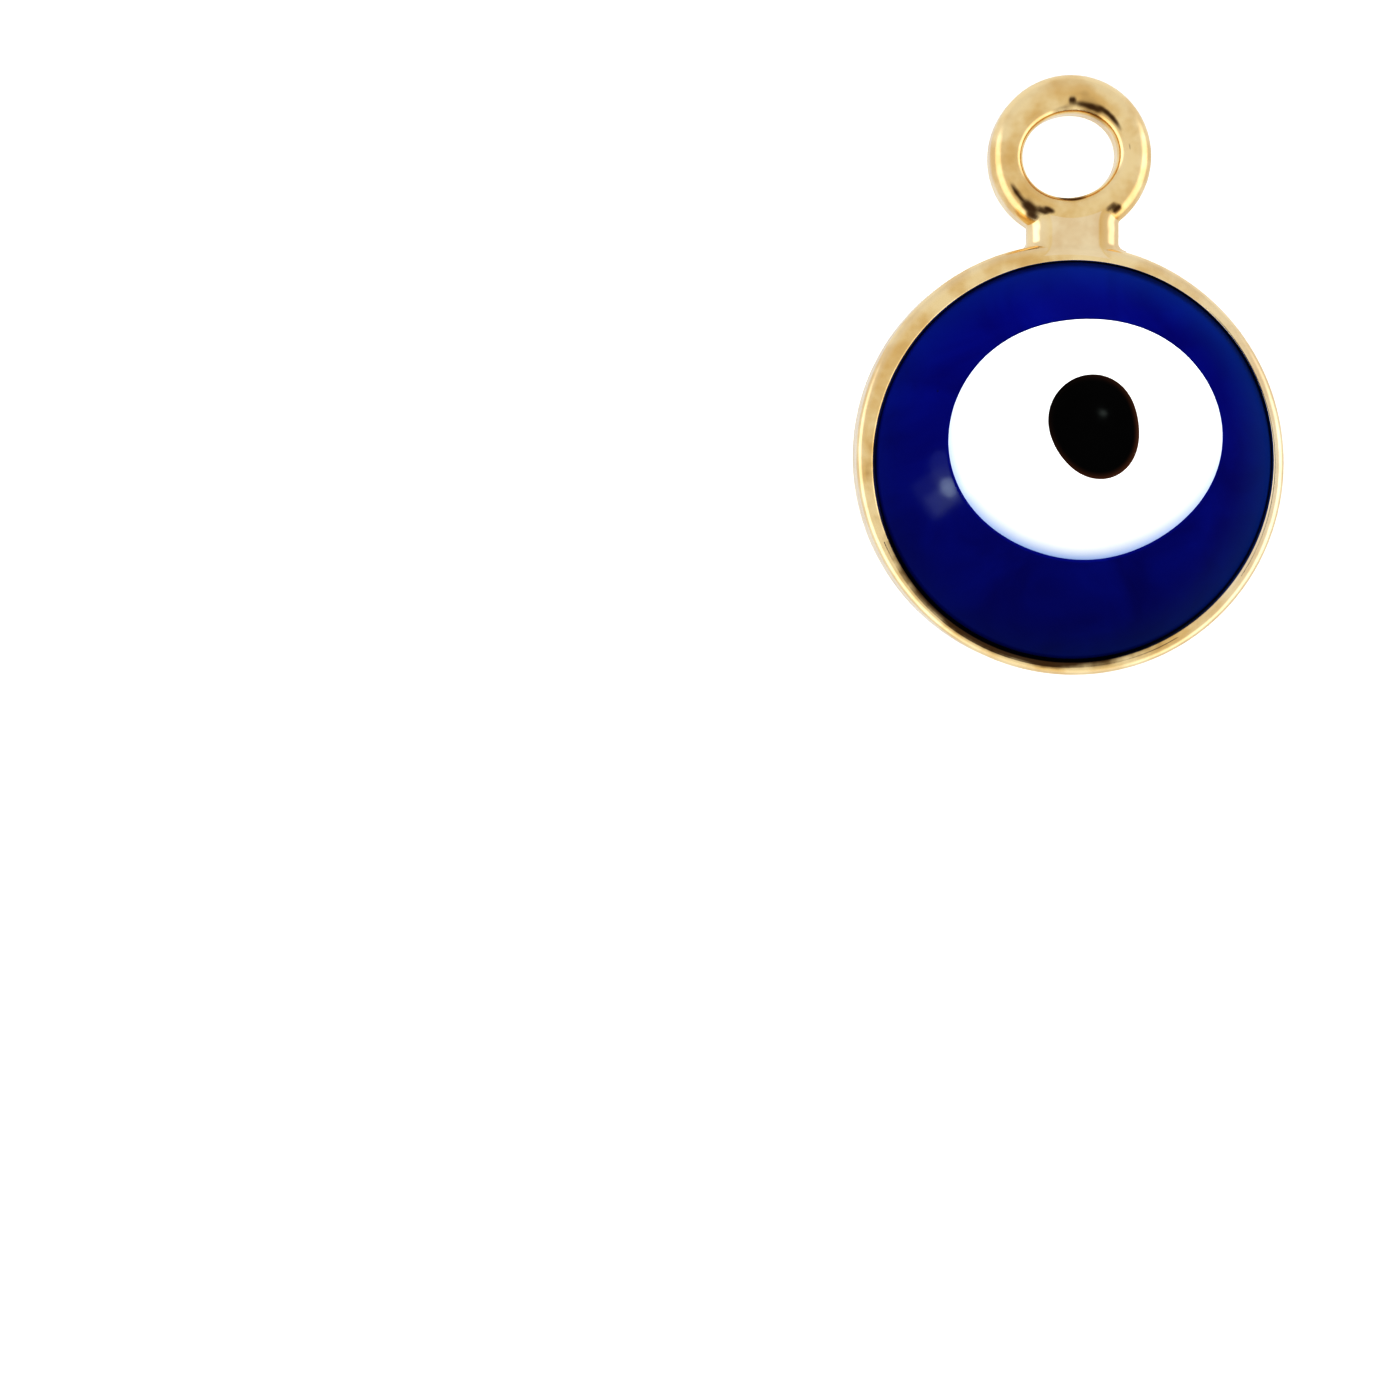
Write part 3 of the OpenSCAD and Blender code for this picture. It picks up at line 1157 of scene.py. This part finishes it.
@dataclass
class Drop:
    """One pour of enamel, from its skin down to its bed."""

    name: str
    node: str
    slot: str
    finish: PouredEnamel
    outline: Outline
    top: Callable[[np.ndarray], np.ndarray]
    rest_on: Callable[[np.ndarray], np.ndarray]
    depth: float
    bed: Outline | None = None
    bed_depth: float = 0.0
    # the width of the thin brim as a share of the way to the middle, and how
    # much of a brim the lip of the bed lies inside the outline of the bed
    brim: float = 0.035
    lip_share: float = 0.8
    # how far in the drop runs thin, the side where it is strongest, in degrees,
    # how much weaker it is on the other side, and the power that it fades by. On
    # the blue dome this band is also a painted reflection.
    band_mm: float = 0.3
    band_side: float = -100.0
    band_bias: float = 0.95
    band_power: float = 1.6
    columns: int = 288
    # rows of the face, and the power that spreads them from the middle
    rows: int = 72
    row_power: float = 0.9
    floor_rows: int = 10
    wall_rows: int = 5
    brim_rows: int = 3

    def build(self) -> bpy.types.Object:
        """Builds the drop and dresses it.

        Returns:
            The new piece.
        """
        piece = make_piece(self.name, [self.skin()], self.node)
        piece.data.materials.append(self.finish.build())
        return piece

    def skin(self) -> Skin:
        """Works out the drop from the middle of its top to that of its foot.

        The rows run from the middle out to the edge, back under a thin brim,
        down the wall and in to the middle of the foot. Where another drop is
        set in this one, they start at the foot of its bed instead. Those of
        the face go with the sine of a power of the way, so they are close
        together at the edge.

        Returns:
            The skin, painted with how thin the drop runs, which on the blue dome
            also places a painted reflection.
        """
        angle = headings(self.columns)
        edge = self.outline.edge(angle)
        middle = self.outline.middle
        under = between(middle, edge, 1 - self.brim)
        floor_share = np.linspace(0, 1, self.floor_rows)[:, None, None]
        down = np.linspace(0, 1, self.wall_rows + 1)[1:, None]
        inner = np.broadcast_to(middle, edge.shape)
        parts = []
        if self.bed:
            inner = between(self.bed.middle, self.bed.edge(angle), 1 - self.lip_share * self.brim)
            floor = between(self.bed.middle, inner, floor_share)
            parts.append((floor, self.top(floor) - self.bed_depth))
            wall = np.broadcast_to(inner, (self.wall_rows - 1, *inner.shape))
            parts.append((wall, self.top(wall) - self.bed_depth * (1 - down[:-1])))
        spread = np.sin(np.linspace(0, 1, self.rows) ** self.row_power * np.pi / 2)
        face = between(inner, edge, spread[:, None, None])
        back = between(edge, under, np.linspace(0, 1, self.brim_rows + 1)[1:, None, None])
        wall = np.broadcast_to(under, (self.wall_rows, *under.shape))
        foot = between(under, middle, floor_share[1:])
        parts += [
            (face, self.top(face)),
            (back, self.rest_on(back)),
            (wall, self.rest_on(wall) - self.depth * down),
            (foot, self.rest_on(foot) - self.depth),
        ]
        plan = np.concatenate([p for p, _ in parts])
        height = np.concatenate([h for _, h in parts])
        points = np.concatenate([plan, height[..., None]], axis=-1)
        return Skin(points, Rows.POLES, {"thin_edge_and_reflection": self._thin_edge_and_reflection(plan)})

    def _thin_edge_and_reflection(self, plan: np.ndarray) -> np.ndarray:
        """Gives how thin the drop runs, from 0 inside to 1 at its edge.

        On the blue dome this also places a painted reflection.

        Args:
            plan: Points in plan.

        Returns:
            The value at each of them.
        """
        reach = (self.outline.long_r + self.outline.short_r) / 2
        inside = (1 - self.outline.share(plan)) * reach
        step = plan - self.outline.middle
        angle = np.arctan2(step[..., 1], step[..., 0])
        less = self.band_bias * (1 - facing(angle, math.radians(self.band_side)))
        return np.clip(1 - inside / self.band_mm, 0, 1) ** self.band_power * (1 - less)


@dataclass
class EyeEnamel:
    """The blue dome with the white drop in it and the black drop in that."""

    dome: Dome = Dome()
    white: Outline = Outline(
        x=0.197,
        y=0.386,
        long_r=2.53,
        short_r=2.2,
        turn=4.0,
        waves=(Wave(count=3, height=0.012, crest=20.0), Wave(count=5, height=0.008, crest=60.0)),
    )
    black: Outline = Outline(
        x=0.314,
        y=0.602,
        long_r=0.889,
        short_r=0.889,
        waves=(Wave(count=2, height=0.074, crest=-72.9), Wave(count=3, height=0.019, crest=54.3)),
    )
    # the least step from one skin up to the next, how far each drop stands
    # proud, and the power of its share by which it falls to its edge
    skin_step: float = 0.001
    white_proud: float = 0.04
    white_power: int = 8
    black_proud: float = 0.02
    black_power: int = 6
    # depths of the walls of the drops, and of the beds that they lie in
    white_depth: float = 0.5
    white_bed_depth: float = 0.53
    black_depth: float = 0.22
    black_bed_depth: float = 0.26

    def build(self) -> list[bpy.types.Object]:
        """Builds the three pours from the outside in."""
        return [drop.build() for drop in (self.blue_drop(), self.white_drop(), self.black_drop())]

    def blue_drop(self) -> Drop:
        """Describes the blue dome, whose wall stands in the cup.

        Returns:
            The dome with the bed of the white drop in it.
        """
        return Drop(
            name="blue_dome",
            node="blue_enamel",
            slot="blue_enamel",
            finish=COBALT,
            outline=Outline(x=POCKET_X, y=POCKET_Y, long_r=self.dome.edge_r, short_r=self.dome.edge_r),
            top=self.blue_top,
            rest_on=self.blue_wall,
            depth=self.dome.edge_z - self.dome.wall_drop - self.dome.foot_z,
            bed=self.white,
            bed_depth=self.white_bed_depth,
            brim=0.0,
            # a wide band at the edge: the gold under thin enamel, and a painted reflection lighter on the
            # right
            band_mm=0.8,
            band_side=15.0,
            band_bias=0.85,
        )

    def white_drop(self) -> Drop:
        """Describes the white drop, whose brim lies on the blue dome.

        Returns:
            The drop with the bed of the black drop in it.
        """
        return Drop(
            name="white_drop",
            node="white_enamel",
            slot="white_enamel",
            finish=OPAQUE_WHITE,
            outline=self.white,
            top=self.white_top,
            rest_on=self.above_blue,
            depth=self.white_depth,
            bed=self.black,
            bed_depth=self.black_bed_depth,
        )

    def black_drop(self) -> Drop:
        """Describes the black drop, whose brim lies on the white one.

        Returns:
            The drop.
        """
        return Drop(
            name="black_drop",
            node="black_enamel",
            slot="black_enamel",
            finish=LAMP_BLACK,
            outline=self.black,
            top=self.black_top,
            rest_on=self.above_white,
            depth=self.black_depth,
            band_mm=0.13,
            band_side=-40.0,
            columns=192,
            rows=48,
        )

    def blue_top(self, plan: np.ndarray) -> np.ndarray:
        """Gives the skin of the blue dome: the sphere, with a round edge.

        The edge falls off the sphere as a circle does from its top.

        Args:
            plan: Points in plan.

        Returns:
            The height of the skin over each.
        """
        heading = np.arctan2(plan[..., 1], plan[..., 0])
        edge = self.dome.edge_round + self.dome.edge_round_more * np.cos(heading - GoldSetting.round_side)
        over = np.clip(self.dome.reach(plan) - (self.dome.edge_r - edge), 0, edge)
        return self.dome.height(plan) - (edge - np.sqrt(np.maximum(edge**2 - over**2, 0)))

    def blue_wall(self, plan: np.ndarray) -> np.ndarray:
        """Gives the level from which the wall of the blue dome goes down."""
        return np.full(plan.shape[:-1], self.dome.edge_z - self.dome.wall_drop)

    def above_blue(self, plan: np.ndarray) -> np.ndarray:
        """Gives the level just above the blue skin, for the white brim."""
        return self.dome.height(plan) + self.skin_step

    def white_top(self, plan: np.ndarray) -> np.ndarray:
        """Gives the white skin, which falls to the blue at its edge."""
        share = np.clip(self.white.share(plan), 0, 1)
        return self.above_blue(plan) + self.white_proud * (1 - share**self.white_power)

    def above_white(self, plan: np.ndarray) -> np.ndarray:
        """Gives the level just above the white skin, for the black brim."""
        return self.white_top(plan) + self.skin_step

    def black_top(self, plan: np.ndarray) -> np.ndarray:
        """Gives the black skin, which falls to the white at its edge."""
        share = np.clip(self.black.share(plan), 0, 1)
        return self.above_white(plan) + self.black_proud * (1 - share**self.black_power)


# Floor, lights and camera


class Lit(Enum):
    """What a lamp lights."""

    PAPER = "the paper alone"
    CHARM = "the pieces of the charm alone"
    ENAMEL = "the enamel alone"


class Shape(Enum):
    """The outline of a lamp."""

    ROUND = "ELLIPSE"
    WINDOW = "RECTANGLE"


@dataclass(frozen=True)
class Lamp:
    """A flat soft lamp that faces the charm. Lengths are in millimetres.

    The turn is in degrees, about the line from the lamp to the charm.
    """

    name: str
    heading: Vector
    distance: float
    width: float
    height: float
    light: float
    lit: Lit
    shape: Shape = Shape.ROUND
    turn: float = 0.0
    tint: tuple[float, float, float] = (1.0, 1.0, 1.0)

    def hang(self, receivers: list[bpy.types.Object]) -> None:
        """Hangs the lamp.

        A lamp for the paper or for the whole charm is kept out of the mirror
        of the gold, as behind a diffusing cloth. The energy of a lamp is its
        light times pi times its area, taken as that of an ellipse.

        Args:
            receivers: The objects that it lights.
        """
        direction = self.heading.normalized()
        lamp = bpy.data.lights.new(self.name, "AREA")
        lamp.shape = self.shape.value
        lamp.color = self.tint
        lamp.size, lamp.size_y = self.width * MM, self.height * MM
        lamp.energy = self.light * math.pi * lamp.size * lamp.size_y * math.pi / 4
        holder = bpy.data.objects.new(self.name, lamp)
        holder.location = direction * self.distance * MM
        face = direction.to_track_quat("Z", "Y") @ Quaternion((0, 0, 1), math.radians(self.turn))
        holder.rotation_euler = face.to_euler()
        bpy.context.scene.collection.objects.link(holder)
        holder.visible_glossy = self.lit is Lit.ENAMEL
        group = bpy.data.collections.new(f"lit_by_{self.name}")
        for thing in receivers:
            group.objects.link(thing)
        holder.light_linking.receiver_collection = group
        if self.lit is Lit.PAPER:
            holder.light_linking.blocker_collection = group


@dataclass(frozen=True)
class Glint:
    """A glint on the dome, and the small lamp that makes it.

    x and y are the place of the glint in plan. The lamp is as far away from
    the charm as distance says. Lengths are in millimetres.
    """

    name: str
    shape: Shape
    x: float
    y: float
    distance: float
    width: float
    height: float
    light: float


@dataclass(frozen=True)
class Tent:
    """A soft tent that shows in mirrors, and the light of each part of it.

    Each range holds where one light starts to change into another and where
    it has changed, on a scale that build names.
    """

    roof: float = 0.585
    panels: float = 1.05
    far_wall: float = 0.57
    near_wall: float = 0.72
    ground: float = 0.62
    panel_lean: float = -0.35
    panel_range: tuple[float, float] = (0.62, 0.87)
    wall_range: tuple[float, float] = (0.3, -0.3)
    roof_range: tuple[float, float] = (0.45, 0.68)
    ground_range: tuple[float, float] = (0.0, -0.25)

    def build(self) -> bpy.types.World:
        """Builds the tent as a world.

        The roof has one even light. Low down there are bright panels to the
        left and the right, a little towards -Y, with a darker wall towards +Y
        and a lighter one towards -Y. The light changes smoothly from one to
        the next: from wall to wall with the Y of the direction, to the panels
        with how far it points to a side plus a share of its Y, and to the roof
        and the ground with its Z. It shows in mirrors alone, in place of the
        bright paper: the colours get their light from the lamps.

        Returns:
            The new world.
        """
        world = bpy.data.worlds.new("light_tent")
        world.use_nodes = True
        world.cycles_visibility.diffuse = False
        tree = world.node_tree
        tree.nodes.clear()
        place = add_node(tree, "TexCoord").outputs["Generated"]
        way = add_node(tree, "SeparateXYZ", {0: place}).outputs
        across = add_node(tree, "Math", {0: way["X"]}, operation="ABSOLUTE").outputs[0]
        leaning = {0: way["Y"], 1: self.panel_lean, 2: across}
        side = add_node(tree, "Math", leaning, operation="MULTIPLY_ADD").outputs[0]
        light = self.far_wall
        for value, (start, stop), other in (
            (way["Y"], self.wall_range, self.near_wall),
            (side, self.panel_range, self.panels),
            (way["Z"], self.roof_range, self.roof),
            (way["Z"], self.ground_range, self.ground),
        ):
            change = {"Value": value, "From Min": start, "From Max": stop, "To Min": light, "To Max": other}
            light = add_node(tree, "MapRange", change, interpolation_type=Ease.SOFT.value).outputs["Result"]
        glow = add_node(tree, "Background", {"Color": (1, 1, 1, 1), "Strength": light})
        add_node(tree, "OutputWorld", {"Surface": glow.outputs[0]})
        return world


@dataclass
class Studio:
    """A pale floor under a soft light tent, seen from above."""

    floor_half: float = 600
    floor_z: float = -0.01
    paper: str = "f4f4f2"
    paper_roughness: float = 0.9
    paper_gloss: float = 0.1
    grain: Pattern = Pattern(size_mm=0.4, detail=2.0, roughness=0.5, height_mm=0.004)
    tent: Tent = Tent()
    # the reflection of a window on the left of the eye, built from four lamps
    # that overlap, and the point of light on the black drop
    glints: tuple[Glint, ...] = (
        Glint("haze_lamp", Shape.WINDOW, x=-2.53, y=-0.61, distance=90.2, width=20, height=20, light=2.6),
        Glint("veil_lamp", Shape.ROUND, x=-2.42, y=-0.2, distance=90, width=20, height=14, light=2.8),
        Glint("glow_lamp", Shape.WINDOW, x=-2.46, y=-0.73, distance=89.8, width=10, height=14.5, light=6),
        Glint("glint_lamp", Shape.ROUND, x=-2.35, y=-0.52, distance=89.5, width=9.8, height=7.5, light=22),
        Glint("spark_lamp", Shape.ROUND, x=0.444, y=0.85, distance=90, width=3, height=3, light=18),
    )
    window_turn: float = 20.0
    window_tint: tuple[float, float, float] = (0.84, 1.0, 0.92)
    # the camera and what it looks at, the length of its lens and its sensor
    camera_at: tuple[float, float, float] = (-7.8, -0.9, 60.95)
    look_at: tuple[float, float, float] = (-6.857, -4.479, 0.9)
    lens: float = 82.5
    sensor: float = 36.0

    def build(self, pieces: list[bpy.types.Object]) -> None:
        """Builds the floor, the light and the camera.

        Args:
            pieces: The pieces of the charm, with the gold one first.
        """
        floor = self.floor()
        bpy.context.scene.world = self.tent.build()
        lit = {Lit.PAPER: [floor], Lit.CHARM: pieces, Lit.ENAMEL: pieces[1:]}
        for lamp in self.lamps():
            lamp.hang(lit[lamp.lit])
        self.camera()
        view = bpy.context.scene.view_settings
        view.view_transform = "Standard"
        view.look = "High Contrast"

    def floor(self) -> bpy.types.Object:
        """Lays a square sheet of white paper just under the charm.

        Returns:
            The sheet.
        """
        half, low = self.floor_half * MM, self.floor_z * MM
        corners = [(-half, -half, low), (half, -half, low), (half, half, low), (-half, half, low)]
        mesh = bpy.data.meshes.new("paper_floor")
        mesh.from_pydata(corners, [], [(0, 1, 2, 3)])
        floor = bpy.data.objects.new("paper_floor", mesh)
        bpy.context.scene.collection.objects.link(floor)
        material, tree, place = new_material("white_paper")
        grain = add_node(tree, "TexNoise", self.grain.inputs(place)).outputs["Fac"]
        inputs = {
            "Base Color": linear(self.paper),
            "Roughness": self.paper_roughness,
            "Specular IOR Level": self.paper_gloss,
        }
        close_material(tree, [(grain, self.grain.height_mm)], inputs)
        mesh.materials.append(material)
        floor.visible_glossy = False
        return floor

    def lamps(self) -> list[Lamp]:
        """Lists the lamps.

        Returns:
            One over the paper, two for the charm, and those of the glints.
        """
        overhead = Vector((0.0, 0.0, 1.0))
        leaning = Vector((0.0, 0.1, 1.0))
        behind = Vector((0.15, 0.85, 0.5))
        large = [
            Lamp("paper_lamp", leaning, distance=500, width=500, height=500, light=4.4, lit=Lit.PAPER),
            Lamp("key_lamp", behind, distance=400, width=260, height=260, light=10.6, lit=Lit.CHARM),
            Lamp("fill_lamp", overhead, distance=400, width=500, height=500, light=1.5, lit=Lit.CHARM),
        ]
        return large + [self.glint_lamp(glint) for glint in self.glints]

    def glint_lamp(self, glint: Glint) -> Lamp:
        """Works out the lamp of a glint from its place on the dome.

        The way to the lamp is the way to the camera, mirrored at the normal of
        the dome: twice the normal times the share of the way along it, less
        the way.

        Args:
            glint: The glint.

        Returns:
            Its lamp.
        """
        dome = Dome()
        spot = Vector((glint.x, glint.y, float(dome.height(np.array([glint.x, glint.y])))))
        normal = (spot - Vector((POCKET_X, POCKET_Y, dome.top_z - dome.radius))).normalized()
        way = (Vector(self.camera_at) - spot).normalized()
        return Lamp(
            name=glint.name,
            heading=2 * normal.dot(way) * normal - way,
            distance=glint.distance,
            width=glint.width,
            height=glint.height,
            light=glint.light,
            lit=Lit.ENAMEL,
            shape=glint.shape,
            turn=self.window_turn,
            tint=self.window_tint,
        )

    def camera(self) -> None:
        """Sets the camera over the charm, as in the photograph."""
        data = bpy.data.cameras.new("photo_camera")
        data.lens = self.lens
        data.sensor_width = self.sensor
        data.clip_start, data.clip_end = 0.001, 5.0
        camera = bpy.data.objects.new("photo_camera", data)
        at = Vector(self.camera_at) * MM
        aim = Vector(self.look_at) * MM
        back = (at - aim).normalized()
        right = Vector((0, 1, 0)).cross(back).normalized()
        up = back.cross(right)
        turn = np.array([right, up, back]).T
        camera.matrix_world = Matrix([[*turn[k], at[k]] for k in range(3)] + [[0, 0, 0, 1]])
        bpy.context.scene.collection.objects.link(camera)
        bpy.context.scene.camera = camera


def main() -> None:
    """Builds the studio and the charm, and reports each piece."""
    logging.basicConfig(level=logging.INFO, format="%(name)s: %(message)s")
    pieces = [GoldSetting().build(), *EyeEnamel().build()]
    Studio().build(pieces)
    log.info("pieces: %s", ", ".join(piece.name for piece in pieces))


if __name__ == "__main__":
    main()
